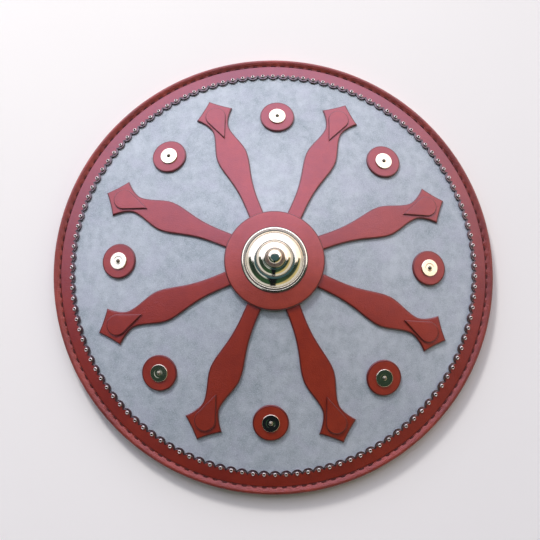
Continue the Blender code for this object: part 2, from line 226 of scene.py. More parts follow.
class Finish:
    """The node tree of a material or of the world, written as expressions on wires."""

    def __init__(self, block):
        self.block = block
        block.use_nodes = True
        self.tree = block.node_tree
        self.tree.nodes.clear()

    def node(self, kind, settings=None, sockets=None, output=0):
        """Add any node: its settings first, then the values or wires of its sockets."""
        made = self.tree.nodes.new("ShaderNode" + kind)
        for key, value in (settings or {}).items():
            setattr(made, key, value)
        for key, value in (sockets or {}).items():
            self.plug(made.inputs[key], value)
        return Wire(self, made.outputs[output]) if made.outputs else None

    def plug(self, socket, value):
        """Feed a socket from a wire, a number or a tuple."""
        if isinstance(value, Wire):
            self.tree.links.new(value.socket, socket)
        elif hasattr(value, "__len__"):
            socket.default_value = (*value, 1)[:len(socket.default_value)]
        else:
            socket.default_value = value

    def sum(self, operation, first, second):
        """One step of arithmetic, with the node that suits what is added up."""
        kinds = {wire.socket.type for wire in (first, second) if isinstance(wire, Wire)}
        if "RGBA" in kinds:
            settings = {"data_type": "RGBA", "blend_type": operation}
            return self.node("Mix", settings, {0: 1.0, 6: first, 7: second}, 2)
        if "VECTOR" in kinds:
            return self.node("VectorMath", {"operation": operation}, {0: first, 1: second})
        return self.node("Math", {"operation": operation}, {0: first, 1: second})

    def blend(self, share, first, second):
        """The first colour where share is 0, the second where it is 1."""
        return self.node("Mix", {"data_type": "RGBA"}, {0: share, 6: first, 7: second}, 2)

    def place(self):
        """The point on the piece in metres."""
        return self.node("TexCoord", output="Object")

    def noise(self, place, scale, detail=3.0, rough=0.5):
        """Cloudy noise from 0 to 1, with features about 1 / scale metres across."""
        sockets = {"Vector": place, "Scale": scale, "Detail": detail, "Roughness": rough}
        return self.node("TexNoise", None, sockets)

    def between(self, value, low, high):
        """Stretch a value so that low becomes 0 and high becomes 1, and stop there."""
        sockets = {"Value": value, "From Min": low, "From Max": high}
        return self.node("MapRange", {"clamp": True}, sockets)

    def bump(self, height, distance, strength=1.0, under=None):
        """A bump on top of another one, with the height of its relief in metres."""
        sockets = {"Height": height, "Distance": distance, "Strength": strength}
        if under is not None:
            sockets["Normal"] = under
        return self.node("Bump", None, sockets)

    def surface(self, **sockets):
        """Join everything to a Principled shader. Underscores in names stand for spaces."""
        shader = self.node("BsdfPrincipled", None, {k.replace("_", " "): v for k, v in sockets.items()})
        self.node("OutputMaterial", None, {"Surface": shader})
        return self.block


def new_finish(name):
    """An empty finish for a material of this name."""
    return Finish(bpy.data.materials.new(name))


# %% [markdown]
# ## Suede
#
# Suede is the brushed flesh side of a hide. It has no gloss, its nap catches stray light, and it is never
# one even grey: the hand and the hide leave cool clouds a few centimetres wide and small mottles in them.
# Three noises of different sizes give that, and the finest one also raises the nap.

# %% Suede finish


def make_suede():
    """Pale blue-grey suede, clouded, with a raised nap."""
    finish = new_finish("pale_suede")
    place = finish.place()
    cloud = finish.noise(place, 11, 2.0)
    mottle = finish.noise(place, 75, 4.0, 0.65)
    nap = finish.noise(place, 900, 3.0, 0.7)
    tone = finish.between(cloud * 0.38 + mottle * 0.62, 0.36, 0.64)
    colour = finish.blend(tone, (0.295, 0.355, 0.400), (0.530, 0.585, 0.640))
    lavender = finish.between(finish.noise(place, 34, 3.0), 0.48, 0.66)
    colour = finish.blend(lavender * 0.45, colour, (0.470, 0.485, 0.590))
    flecks = finish.between(nap, 0.42, 0.62)
    colour = finish.blend(flecks * 0.60, colour, (0.62, 0.68, 0.73))
    relief = finish.bump(mottle, 0.0009, 0.6)
    relief = finish.bump(nap, 0.0005, 0.9, relief)
    return finish.surface(
        Base_Color=colour,
        Roughness=0.95,
        Specular_IOR_Level=0.15,
        Sheen_Weight=0.35,
        Sheen_Roughness=0.5,
        Sheen_Tint=(0.80, 0.86, 1.0),
        Normal=relief,
    )


suede = make_suede()
print("finish:", suede.name)

# %% [markdown]
# ## Red-brown leather, and its burnished edges
#
# The leather is dyed a deep red-brown and has a satin wax finish, which is why it looks rose-pink where a
# bright sky mirrors in it and nearly orange where none does. A thin coat gives that haze. Its grain is a
# fine pebble of small cells, with pores and a few rubbed places. One function makes every leather, with
# its own dye, grain and coat. Cut edges are rubbed smooth and dyed darker: dark red on the arms, and
# nearly black on the punched scallops.

# %% Leather finishes


def make_leather(name, deep, light, grain=1.0, coat=0.5, haze=(0.92, 0.70, 1.0)):
    """Waxed leather between two dyes, with a tint for the haze of what mirrors in it."""
    finish = new_finish(name)
    place = finish.place()
    cloud = finish.noise(place, 16, 3.0, 0.55)
    patches = finish.noise(place, 95, 4.0, 0.6)
    cells = finish.node("TexVoronoi", {"feature": "SMOOTH_F1"}, {"Vector": place, "Scale": 780.0})
    pores = finish.noise(place, 2100, 2.0)
    tone = finish.between(cloud * 0.6 + patches * 0.4, 0.36, 0.64)
    colour = finish.blend(tone, deep, light)
    shade = finish.between(cells, 0.25, 0.75)
    colour = finish.blend(shade * 0.22, colour, tuple(0.62 * c for c in deep))
    relief = finish.bump(patches, 0.0005, 0.35)
    relief = finish.bump(cells, 0.00022, grain, relief)
    relief = finish.bump(pores, 0.00008, grain, relief)
    rubbed = finish.between(finish.noise(place, 42, 3.0), 0.52, 0.75)
    return finish.surface(
        Base_Color=colour,
        Roughness=0.38 - rubbed * 0.06 + shade * 0.05,
        Specular_IOR_Level=1.0,
        Specular_Tint=haze,
        Coat_Weight=coat,
        Coat_Roughness=0.34,
        Normal=relief,
    )


def make_burnished(name, deep, light, worn_red, haze, coat):
    """A cut edge rubbed smooth and dark: glossy, streaked along the cut and lighter where it is worn."""
    finish = new_finish(name)
    place = finish.place()
    streaks = finish.noise(place * (1.0, 1.0, 6.0), 260, 3.0)
    worn = finish.between(finish.noise(place, 130, 3.0), 0.58, 0.78)
    colour = finish.blend(streaks, deep, light)
    colour = finish.blend(worn * 0.5, colour, worn_red)
    relief = finish.bump(streaks, 0.00015, 0.6)
    return finish.surface(
        Base_Color=colour,
        Roughness=0.28 + worn * 0.2,
        Specular_IOR_Level=1.0,
        Specular_Tint=haze,
        Coat_Weight=coat,
        Coat_Roughness=0.22,
        Normal=relief,
    )


leather = make_leather("red_brown_leather", (0.262, 0.021, 0.004), (0.355, 0.034, 0.007), coat=0.42)
hub_leather = make_leather("centre_disc_leather", (0.330, 0.046, 0.022), (0.425, 0.065, 0.033), coat=0.15)
band_leather = make_leather("scalloped_band_leather", (0.200, 0.013, 0.003), (0.285, 0.024, 0.006))
edge_leather = make_leather(
    "rolled_edge_leather", (0.150, 0.014, 0.006), (0.300, 0.036, 0.014),
    grain=2.4, coat=0.15, haze=(0.90, 0.64, 0.72),
)
burnished = make_burnished(
    "burnished_edge", (0.090, 0.009, 0.007), (0.140, 0.016, 0.012),
    worn_red=(0.220, 0.034, 0.028), haze=(1.0, 0.62, 0.70), coat=0.25,
)
punched_edge = make_burnished(
    "punched_scallop_edge", (0.022, 0.007, 0.009), (0.048, 0.013, 0.014),
    worn_red=(0.130, 0.030, 0.028), haze=(1.0, 0.80, 0.92), coat=1.0,
)
print("leathers:", leather.name, hub_leather.name, band_leather.name, edge_leather.name)
print("cut edges:", burnished.name, punched_edge.name)

# %% [markdown]
# ## Brass, tacks and iron
#
# Polished brass is nearly a mirror. What keeps it from looking like plastic is what handling leaves on
# it: a very fine unevenness, faint smears that change its gloss, and a few brown specks. The boss's neck
# and grooves are painted darker and duller, as painted shade. That brass, the tacks, the studs' domes,
# the near-black painted shade and the iron are all blotchy metals, so they share one function.

# %% Metal finishes


def make_brass():
    """Polished brass with smears and a few brown specks."""
    finish = new_finish("polished_brass")
    place = finish.place()
    smears = finish.noise(place, 60, 4.0, 0.6)
    specks = finish.between(finish.noise(place, 420, 3.0), 0.60, 0.80)
    colour = finish.blend(finish.between(smears, 0.35, 0.70), (0.86, 0.80, 0.66), (0.78, 0.71, 0.54))
    colour = finish.blend(specks * 0.25, colour, (0.50, 0.36, 0.17))
    relief = finish.bump(finish.noise(place, 900, 2.0), 0.00001, 0.5)
    return finish.surface(
        Base_Color=colour,
        Metallic=1.0,
        Roughness=0.07 + smears * 0.07 + specks * 0.12,
        Normal=relief,
    )


def make_metal(name, colour, lighter, roughness):
    """A duller metal that goes from one colour to a lighter one in small blotches."""
    finish = new_finish(name)
    place = finish.place()
    blotch = finish.noise(place, 350, 4.0, 0.6)
    mixed = finish.blend(finish.between(blotch, 0.35, 0.70), colour, lighter)
    relief = finish.bump(blotch, 0.0001, 0.6)
    gloss = roughness + blotch * 0.15
    return finish.surface(Base_Color=mixed, Metallic=0.8, Roughness=gloss, Normal=relief)


brass = make_brass()
# Darker, duller brass, painted into the boss's neck, groove and foot as painted shade.
dull_brass_painted_shade = make_metal("dull_brass_painted_shade", (0.20, 0.175, 0.14), (0.33, 0.29, 0.23), 0.22)
tack_metal = make_metal("pale_tack_metal", (0.74, 0.68, 0.66), (0.54, 0.48, 0.45), 0.20)
nail_metal = make_metal("dark_nail_head", (0.16, 0.15, 0.12), (0.26, 0.24, 0.19), 0.12)
# Near-black metal, painted into the tacks' hollows and onto the boss's cut rim as painted shade and
# shadow.
near_black_painted_shade = make_metal("near_black_metal_painted_shade", (0.080, 0.060, 0.055), (0.150, 0.110, 0.095), 0.40)
iron = make_metal("blackened_iron", (0.040, 0.038, 0.037), (0.110, 0.100, 0.095), 0.40)
print("metals:", brass.name, dull_brass_painted_shade.name, tack_metal.name, nail_metal.name, near_black_painted_shade.name, iron.name)

# %% [markdown]
# ## Thread, wood and strap leather
#
# The seam is sewn with dark waxed thread, whose twist is a slanting wave. The back is plainer than the
# face: a dark stained board and brown straps. Wood needs a grain that runs one way, and noise that is
# squeezed along Y gives it without any picture. The straps are the same leather with a brown dye.

# %% Thread, wood and strap leather


def make_thread():
    """Waxed thread, nearly black, with its twist."""
    finish = new_finish("waxed_thread")
    place = finish.place()
    strands = finish.node(
        "TexWave", {"bands_direction": "DIAGONAL"}, {"Vector": place, "Scale": 620.0, "Distortion": 0.6}
    )
    colour = finish.blend(strands, (0.035, 0.004, 0.003), (0.095, 0.009, 0.007))
    return finish.surface(Base_Color=colour, Roughness=0.6, Normal=finish.bump(strands, 0.0001, 0.8))


def make_wood():
    """A dark stained board with its grain along Y."""
    finish = new_finish("stained_board")
    place = finish.place()
    along = place * (1.0, 0.07, 1.0)
    bands = finish.noise(along, 55, 4.0, 0.6)
    fibres = finish.noise(along, 620, 3.0, 0.6)
    colour = finish.blend(finish.between(bands, 0.34, 0.68), (0.085, 0.040, 0.020), (0.210, 0.115, 0.060))
    colour = finish.blend(finish.between(fibres, 0.45, 0.75) * 0.6, colour, (0.050, 0.024, 0.013))
    relief = finish.bump(fibres, 0.0003, 0.6)
    return finish.surface(Base_Color=colour, Roughness=0.52 + fibres * 0.2, Normal=relief)


thread = make_thread()
wood = make_wood()
strap_leather = make_leather(
    "brown_strap_leather", (0.090, 0.036, 0.018), (0.160, 0.070, 0.036),
    grain=1.2, coat=0.0, haze=(0.50, 0.36, 0.26),
)
print("finishes:", thread.name, wood.name, strap_leather.name)

# %% [markdown]
# ## The dish and its suede
#
# The board is one shell, turned like a shallow bowl. It hardly shows from the front, but it is the whole
# of the hollow back. The suede is glued over it. Both are turned from many rings, so that the rim is
# round and the crown bends smoothly.

# %% Board and suede
RIM_SEGMENTS = 240
SEAM_RADIUS = 0.2898
SUEDE_RADIUS = 0.2895


def dish_radii(outer, rings):
    """Radii from the crown outwards, closer together where the face bends more."""
    return outer * (np.arange(rings + 1) / rings) ** 1.3


def shell_profile(outer, rings, top, bottom):
    """Out along the top surface and back along the lower one."""
    radii = dish_radii(outer, rings)
    return list(zip(radii, top(radii))) + list(zip(radii[::-1], bottom(radii[::-1])))


def suede_underside(radius):
    """Height of the suede's glued side."""
    return face_height(radius) - SUEDE


def board_top(radius):
    """Height of the board's face, under the suede."""
    return face_height(radius) - SUEDE - GAP


board_mesh = turned("board", shell_profile(BOARD_RADIUS, 36, board_top, board_underside), RIM_SEGMENTS)
board = show("board", board_mesh, [wood], "wood", "shield_board")
suede_profile = shell_profile(SUEDE_RADIUS, 48, face_height, suede_underside)
cover_mesh = turned("suede_cover", suede_profile, RIM_SEGMENTS)
cover = show("suede_cover", cover_mesh, [suede], "suede", "suede_face")
print("board and suede:", len(board.data.polygons), "and", len(cover.data.polygons), "faces")

# %% [markdown]
# ## The rolled edge
#
# Wet leather is folded over the board's edge, pulled tight and sewn down along a seam. It stands up from
# the seam, rises to a crest near the outside, rounds over and runs down to the foot that the shield lies
# on. Each stitch pulls the seam in a little, so the turned profile is pinched once for each stitch.

# %% Rolled edge with its pinches
STITCH_COUNT = 140
STEPS_PER_STITCH = 8
BINDING = 0.0025
SEAM_LIFT = 0.0024
CREST_LIFT = 0.0018
PINCH_REACH = 0.0045
PINCH_DEPTH = 0.0011
WANDER_DEPTH = 0.00008
FOOT_OUTER = SHIELD_RADIUS - 0.002
FOOT_INNER = FOOT_OUTER - 0.008
RETURN_RADIUS = 0.2723
INNER_WALL = BOARD_RADIUS + GAP
seam_foot = float(face_height(SEAM_RADIUS)) + SEAM_LIFT
crest = seam_foot + CREST_LIFT
return_height = float(board_underside(RETURN_RADIUS)) - GAP
edge_points = [
    (SEAM_RADIUS, float(face_height(SEAM_RADIUS)) - SUEDE),
    (SEAM_RADIUS, seam_foot, 0.0004),
    (SEAM_RADIUS + 0.0016, seam_foot + 0.0001, 0.0007),
    (SEAM_RADIUS + 0.0028, seam_foot + 0.0006, 0.0007),
    (SHIELD_RADIUS - 0.0028, crest + 0.0001, 0.0018),
    (SHIELD_RADIUS - 0.0002, crest - 0.0014, 0.0016),
    (SHIELD_RADIUS, crest - 0.0040, 0.0016),
    (SHIELD_RADIUS, 0.0024, 0.0018),
    (FOOT_OUTER, 0, 0.0010),
    (FOOT_INNER, 0, 0.0016),
    (RETURN_RADIUS, return_height - BINDING, 0.0010),
    (RETURN_RADIUS, return_height, 0.0006),
    (INNER_WALL, float(board_underside(BOARD_RADIUS)) - GAP),
    (INNER_WALL, float(face_height(INNER_WALL)) - SUEDE),
]
edge_grid, edge_angles = ring_grid(rounded(edge_points), STITCH_COUNT * STEPS_PER_STITCH)
edge_radius = np.hypot(edge_grid[..., 0], edge_grid[..., 1])
on_top = edge_grid[..., 2] > seam_foot - 1e-5
near_seam = np.clip(1 - (edge_radius - SEAM_RADIUS) / PINCH_REACH, 0, 1) * on_top
pinch = 0.5 - 0.5 * np.cos(STITCH_COUNT * edge_angles)
wander = np.sin(7 * edge_angles + 1.0) + np.sin(17 * edge_angles + 2.0) + 0.7 * np.sin(41 * edge_angles)
edge_grid[..., 2] -= near_seam * (PINCH_DEPTH * pinch - WANDER_DEPTH * wander)
edge_mesh = skin("rolled_edge", edge_grid, wrap_rows=True)
rolled_edge = show("rolled_edge", edge_mesh, [edge_leather], "leather", "rim_binding")
print("rolled edge:", len(rolled_edge.data.polygons), "faces, crest at", round(crest, 4))

# %% [markdown]
# ## The scalloped band
#
# The band is a strip of leather whose inner edge is punched into 120 round scallops. Its grid has rows
# that run along the strip. The inner rows keep the scallops' shape and the outer ones ease into a plain
# circle, so an embossed line can follow the scallops just by lowering two rows. The punched wall and the
# strip along it, out to just past the line, are burnished.

# %% Band of scallops
SCALLOPS = 120
SCALLOP_DEPTH = 0.0045
BAND_INNER = 0.269
BAND = 0.0025
STEPS_PER_SCALLOP = 16
EASE_WIDTH = 0.012
BURNISHED_ROWS = 8


def ease(t):
    """Ease from 0 to 1 with level ends."""
    return t * t * (3 - 2 * t)


def scallop_edge():
    """Radius and angle of the points along the punched edge."""
    pitch = math.tau / SCALLOPS
    half_chord = BAND_INNER * math.tan(pitch / 2)
    arc = (half_chord ** 2 + SCALLOP_DEPTH ** 2) / (2 * SCALLOP_DEPTH)
    half_turn = 2 * math.atan2(SCALLOP_DEPTH, half_chord)
    turn = half_turn * (2 * np.arange(STEPS_PER_SCALLOP) / STEPS_PER_SCALLOP - 1)
    radius = BAND_INNER + arc * (1 - np.cos(turn))
    angle = pitch / 2 + arc * np.sin(turn) / BAND_INNER
    starts = np.arange(SCALLOPS) * pitch
    return np.tile(radius, SCALLOPS), (starts[:, None] + angle).ravel()


punched, punched_angles = scallop_edge()
# Each row: how far in from the punched edge, and how far below the band's top.
band_rows = [(0, 0.0024), (0, 0.0006), (0.0003, 0.0002), (0.0009, 0), (0.0015, 0), (0.0019, 0.0003),
             (0.0024, 0.00035), (0.0029, 0), (0.0036, 0), (0.005, 0), (0.008, 0), (0.012, 0), (0.016, 0)]
grid_rows = []
for inset, sunk in band_rows:
    share = ease(min(1.0, inset / EASE_WIDTH))
    radius = (punched + inset) * (1 - share) + (BAND_INNER + SCALLOP_DEPTH * 0.5 + inset) * share
    grid_rows.append((radius, BAND - sunk))
outer_rim = np.full_like(punched, SUEDE_RADIUS)
grid_rows += [(outer_rim - 0.0004, BAND), (outer_rim, BAND - 0.0005), (outer_rim, 0.0)]
grid_rows.append((punched, 0.0))
band_points = []
for radius, lift in grid_rows:
    x, y = radius * np.cos(punched_angles), radius * np.sin(punched_angles)
    band_points.append(np.stack([x, y, face_height(radius) + GAP + lift], -1))
# The last row of quads closes the ring with the lower part of the punched wall.
band_finish = [1] * BURNISHED_ROWS + [0] * (len(grid_rows) - BURNISHED_ROWS - 1) + [1]
band_mesh = skin("scallop_band", np.array(band_points), band_finish, wrap_rows=True)
band = show("scallop_band", band_mesh, [band_leather, punched_edge], "leather", "scalloped_band")
print("band:", SCALLOPS, "scallops,", len(band.data.polygons), "faces")

# %% [markdown]
# ## Tacks and stitches
#
# A small hollow tack holds each scallop, and a waxed thread closes the seam. They are many and small, so
# each kind is one mesh: a pattern is made once, turned to the face's slope and joined to the rest. A
# seeded random tilt keeps the glints on the tacks from being all alike, as hammered tacks are.

# %% Ring tacks
TACK_RADIUS = 0.0026
TACK_CIRCLE = BAND_INNER + 0.0052
TACK_LIFT = 0.0002
TACK_TILT = math.radians(5)
rng = np.random.default_rng(12)


def scatter(name, pattern, places, finishes, slot):
    """Join one copy of a pattern mesh at each place, a 4 x 4 matrix, into one piece."""
    bm = bmesh.new()
    for place in places:
        copy = pattern.copy()
        copy.transform(place)
        bm.from_mesh(copy)
        bpy.data.meshes.remove(copy)
    return show(name, smooth_mesh(bm, name), finishes, slot)


def on_face(radius, angle, lift):
    """A matrix that stands a small piece square on the face, with its X pointing outwards."""
    turn = Euler((0, face_slope(radius), angle)).to_matrix().to_4x4()
    spot = Vector((radius * math.cos(angle), radius * math.sin(angle), float(face_height(radius)) + lift))
    return Matrix.Translation(spot) @ turn


tack_profile = [(0, -0.0004), (TACK_RADIUS * 0.95, -0.0004), (TACK_RADIUS, 0.0001), (0.0025, 0.0006),
                (0.0021, 0.0010), (0.0017, 0.0011), (0.0013, 0.0009), (0.0010, 0.0005), (0.0009, -0.0001),
                (0, -0.0001)]
# The last three rows, the tack's hollow, get the near-black metal as painted shade.
tack = turned("tack", tack_profile, 14, [0] * 6 + [1] * 3)
tack_places = []
for i in range(SCALLOPS):
    tilt = Euler((*rng.normal(0, TACK_TILT, 2), rng.uniform(0, math.tau))).to_matrix().to_4x4()
    middle = (i + 0.5) * math.tau / SCALLOPS
    tack_places.append(on_face(TACK_CIRCLE, middle, GAP + BAND + TACK_LIFT) @ tilt)
scatter("ring_tacks", tack, tack_places, [tack_metal, near_black_painted_shade], "brass")
print("tacks:", len(tack_places))

# %% Seam stitches
STITCH_LENGTH = 0.0076
STITCH_GIRTH = 0.0011
STITCH_CIRCLE = SEAM_RADIUS + 0.0009
STITCH_LIFT = 0.0023
STITCH_DIP = 0.0009
STITCH_SLANT = 0.05
bend = np.linspace(-1, 1, 13)
girth = STITCH_GIRTH * np.sqrt(np.clip(1 - np.abs(bend) ** 5, 0.02, 1))
round_angles = np.arange(8) * math.tau / 8
stitch_grid = np.stack([
    girth[:, None] * np.cos(round_angles),
    np.repeat(bend[:, None] * STITCH_LENGTH / 2, 8, axis=1),
    girth[:, None] * np.sin(round_angles) - STITCH_DIP * bend[:, None] ** 4,
], axis=-1)
stitch = skin("stitch", stitch_grid)
stitch_places = []
for i in range(STITCH_COUNT):
    slant = Matrix.Rotation(rng.normal(0, STITCH_SLANT), 4, "Z")
    middle = (i + 0.5) * math.tau / STITCH_COUNT
    stitch_places.append(on_face(STITCH_CIRCLE, middle, STITCH_LIFT) @ slant)
scatter("seam_stitches", stitch, stitch_places, [thread], "leather")
print("stitches:", len(stitch_places))

# %% [markdown]
# ## Leather cut to a shape
#
# The arms and teardrops are cut from flat leather and bent over the face. The script does the same: a
# flat outline is filled, thickened upwards, and its top rim is rounded with a bevel. Then it is sliced
# across and along, because a flat face can't bend between its corners. Last, every point is lifted by
# the height of the face under it. The wall and the rounded rim, which is all that doesn't lie flat, get
# the burnished finish.

# %% Cut, bevel, slice and drape
SLICE_WIDTH = 0.005
FLAT_ENOUGH = 0.985


def slice_up(bm, outline):
    """Cut the piece into strips along X and along Y, so that it can bend."""
    low, high = np.min(outline, axis=0), np.max(outline, axis=0)
    for axis in (0, 1):
        across = Vector((1 - axis, axis, 0))
        for cut in np.arange(low[axis] + SLICE_WIDTH, high[axis] - SLICE_WIDTH / 3, SLICE_WIDTH):
            everything = bm.verts[:] + bm.edges[:] + bm.faces[:]
            spot = across * float(cut)
            bmesh.ops.bisect_plane(bm, geom=everything, dist=1e-6, plane_co=spot, plane_no=across)


def cut_leather(name, outline, thickness, rim, base):
    """A piece of leather from a flat outline of (x, y) points. base(radius) is the height under it."""
    bm = bmesh.new()
    sheet = bm.faces.new([bm.verts.new((x, y, 0)) for x, y in outline])
    lifted = bmesh.ops.extrude_face_region(bm, geom=[sheet])["geom"]
    top_verts = [item for item in lifted if isinstance(item, bmesh.types.BMVert)]
    for vert in top_verts:
        vert.co.z = thickness
    rim_edges = [edge for edge in bm.edges if all(v.co.z > thickness / 2 for v in edge.verts)]
    bmesh.ops.recalc_face_normals(bm, faces=bm.faces)
    bmesh.ops.bevel(
        bm, geom=rim_edges, offset=rim, segments=3, profile=0.5, affect="EDGES", clamp_overlap=True
    )
    slice_up(bm, outline)
    for face in bm.faces:
        face.normal_update()
        face.material_index = int(abs(face.normal.z) < FLAT_ENOUGH)
    reach = np.array([math.hypot(v.co.x, v.co.y) for v in bm.verts])
    for vert, height in zip(bm.verts, base(reach)):
        vert.co.z += float(height)
    return settle(bm, name)


def spun_copy(mesh, name, angle):
    """The same piece turned round the shield's axis, with its own mesh."""
    copy = mesh.copy()
    copy.name = name
    copy.transform(Matrix.Rotation(angle, 4, "Z"))
    return copy


def weigh_normals(piece):
    """Let the large faces decide the shading, so that flat leather looks flat up to its rounded rim."""
    modifier = piece.modifiers.new("weighted_normals", "WEIGHTED_NORMAL")
    modifier.keep_sharp = True


# %% [markdown]
# ## The eight arms
#
# Each arm comes out from under the centre disc, swells to a belly, narrows to a waist, and flares to a
# broad head with two corners and a blunt point. The half width is a function of the distance from the
# axis, in four stretches, and the outline is that function on both sides.

# %% Arms
ARMS = 8
ARM_RIM = 0.0018
HOLLOW = 0.004
DISC_RADIUS = 0.065
ROOT = DISC_RADIUS - 0.030
REACH = 0.250
HEAD_LENGTH, FLARE_LENGTH = 0.022, 0.026
HEAD_WIDTH, WAIST_WIDTH, BELLY_WIDTH, ROOT_WIDTH = 0.052, 0.023, 0.042, 0.0196
CORNER = REACH - HEAD_LENGTH
WAIST = CORNER - FLARE_LENGTH
BELLY = DISC_RADIUS + 0.67 * (WAIST - DISC_RADIUS)


def on_suede(radius):
    """Height of the underside of leather that lies on the suede."""
    return face_height(radius) + GAP


def arm_side():
    """Points of (distance, half width) down one side of an arm, from its root to its point."""
    points = [(ROOT, ROOT_WIDTH / 2)]
    for t in np.linspace(0, 1, 15):
        width = ROOT_WIDTH + (BELLY_WIDTH - ROOT_WIDTH) * ease(t ** 1.7)
        points.append((DISC_RADIUS + t * (BELLY - DISC_RADIUS), width / 2))
    for t in np.linspace(0, 1, 11)[1:]:
        width = BELLY_WIDTH + (WAIST_WIDTH - BELLY_WIDTH) * ease(t)
        points.append((BELLY + t * (WAIST - BELLY), width / 2))
    for t in np.linspace(0, 1, 9)[1:]:
        width = WAIST_WIDTH + (HEAD_WIDTH - WAIST_WIDTH) * t ** 1.65
        points.append((WAIST + t * FLARE_LENGTH, width / 2))
    for t in np.linspace(0, 1, 7)[1:]:
        points.append((CORNER + HEAD_LENGTH * t - HOLLOW * t * (1 - t), HEAD_WIDTH / 2 * (1 - t)))
    return points


side = arm_side()
arm_outline = [(x, -y) for x, y in side] + [(x, y) for x, y in side[-2::-1]]
arm_mesh = cut_leather("arm", arm_outline, LEATHER, ARM_RIM, on_suede)
arm_angles = [math.tau * (i + 0.5) / ARMS for i in range(ARMS)]
for number, angle in enumerate(arm_angles, 1):
    name = f"arm_{number}"
    copy = spun_copy(arm_mesh, name, angle)
    weigh_normals(show(name, copy, [leather, burnished], "leather", f"leather_{name}"))
print("arms:", ARMS, "of", len(arm_mesh.polygons), "faces, from", ROOT, "to", REACH)

# %% [markdown]
# ## The teardrops
#
# A second, thinner layer in the shape of a drop sits on each arm's head, with its point towards the
# middle of the shield. Its outline is an arc and the two straight lines that touch it from the point, so
# it comes from a radius and a length. Its rim is rounded and burnished like that of the arms.

# %% Teardrops
DROP = 0.002
DROP_RIM = 0.0012
DROP_RADIUS = 0.014
DROP_END = REACH - 0.013
DROP_TIP = DROP_END - 0.051
drop_centre = DROP_END - DROP_RADIUS
side_angle = math.asin(DROP_RADIUS / (drop_centre - DROP_TIP))
drop_side = [(DROP_TIP, 0.0)]
for angle in np.linspace(-side_angle, math.pi / 2, 15):
    drop_side.append((drop_centre + DROP_RADIUS * math.sin(angle), DROP_RADIUS * math.cos(angle)))
drop_outline = [(x, -y) for x, y in drop_side] + [(x, y) for x, y in drop_side[-2:0:-1]]


def on_leather(radius):
    """Height of the underside of a second layer, which lies on the arms."""
    return face_height(radius) + 2 * GAP + LEATHER


drop_mesh = cut_leather("teardrop", drop_outline, DROP, DROP_RIM, on_leather)
for number, angle in enumerate(arm_angles, 1):
    name = f"drop_{number}"
    copy = spun_copy(drop_mesh, name, angle)
    weigh_normals(show(name, copy, [leather, burnished], "leather", f"teardrop_{number}"))
print("teardrops:", ARMS, "of", len(drop_mesh.polygons), "faces")

# %% [markdown]
# ## Washers and studs
#
# Between the arms stand round leather washers, each pinned by a brass stud. The stud is a thin, nearly
# flat disc with a small, darker dome in its middle. Because it is so flat it mirrors one patch of the
# surroundings, so whole studs flash white while others stay dark.

# %% Washers and studs
STUD_CIRCLE = 0.2068
WASHER_RADIUS = 0.0236
WASHER_RIM = 0.0019
WASHER_BURNISH = 0.0014
STUD_RADIUS = 0.0118
washer_profile = rounded([
    (0, 0), (WASHER_RADIUS, 0, 0.0003), (WASHER_RADIUS, LEATHER, WASHER_RIM), (0, LEATHER),
])
wall_rows = [int(radius > WASHER_RADIUS - WASHER_BURNISH) for radius, _ in washer_profile[:-1]]
stud_profile = rounded([
    (0, 0),
    (STUD_RADIUS - 0.0004, 0, 0.0002),
    (STUD_RADIUS, 0.0005, 0.0004),
    (STUD_RADIUS - 0.0006, 0.00142, 0.0003),
    (0.0062, 0.00148, 0.0004),
    (0.0055, 0.00138, 0.0003),
    (0.0026, 0.0015, 0.0003),
    (0.0022, 0.0029, 0.0009),
    (0.0012, 0.0040, 0.0008),
    (0, 0.0042),
])
washer_mesh = turned("washer", washer_profile, 72, wall_rows)
# The small dome is darker than the disc.
dome_rows = [int(radius < 0.0027 and height > 0.0014) for radius, height in stud_profile[:-1]]
stud_mesh = turned("stud", stud_profile, 56, dome_rows)
for number in range(1, ARMS + 1):
    stand = on_face(STUD_CIRCLE, math.tau * (number - 1) / ARMS, 0)
    washer = washer_mesh.copy()
    washer.transform(stand @ Matrix.Translation((0, 0, GAP)))
    node = f"stud_washer_{number}"
    weigh_normals(show(f"washer_{number}", washer, [leather, burnished], "leather", node))
    stud = stud_mesh.copy()
    stud.transform(stand @ Matrix.Translation((0, 0, LEATHER + 2 * GAP)))
    weigh_normals(show(f"stud_{number}", stud, [brass, nail_metal], "brass", f"brass_stud_{number}"))
print("washers and studs:", ARMS, "of each on a circle of", STUD_CIRCLE)

# %% [markdown]
# ## The centre disc
#
# The disc covers the roots of the arms and bends with the face. A round piece is simpler to turn than to
# cut: its profile runs out along the top, round the rim and back along the underside.

# %% Centre disc
DISC_BURNISH = 0.0018
disc_radii = dish_radii(DISC_RADIUS - 0.0004, 14)
disc_profile = [(r, float(on_leather(r) + LEATHER)) for r in disc_radii[:-1]]
for inset, sunk in ((0.0017, 0.0), (0.0009, 0.0003), (0.0003, 0.0009), (0.0, 0.0017)):
    disc_profile += [(DISC_RADIUS - inset, float(on_leather(DISC_RADIUS - inset) + LEATHER - sunk))]
disc_profile += [(DISC_RADIUS, float(on_leather(DISC_RADIUS)))]
disc_profile += [(r, float(on_leather(r))) for r in disc_radii[::-1]]
disc_rows = [int(min(here[0], after[0]) > DISC_RADIUS - DISC_BURNISH)
             for here, after in zip(disc_profile, disc_profile[1:])]
disc_mesh = turned("hub_disc", disc_profile, 160, disc_rows)
weigh_normals(show("hub_disc", disc_mesh, [hub_leather, burnished], "leather", "centre_disc"))
print("disc:", len(disc_mesh.polygons), "faces")
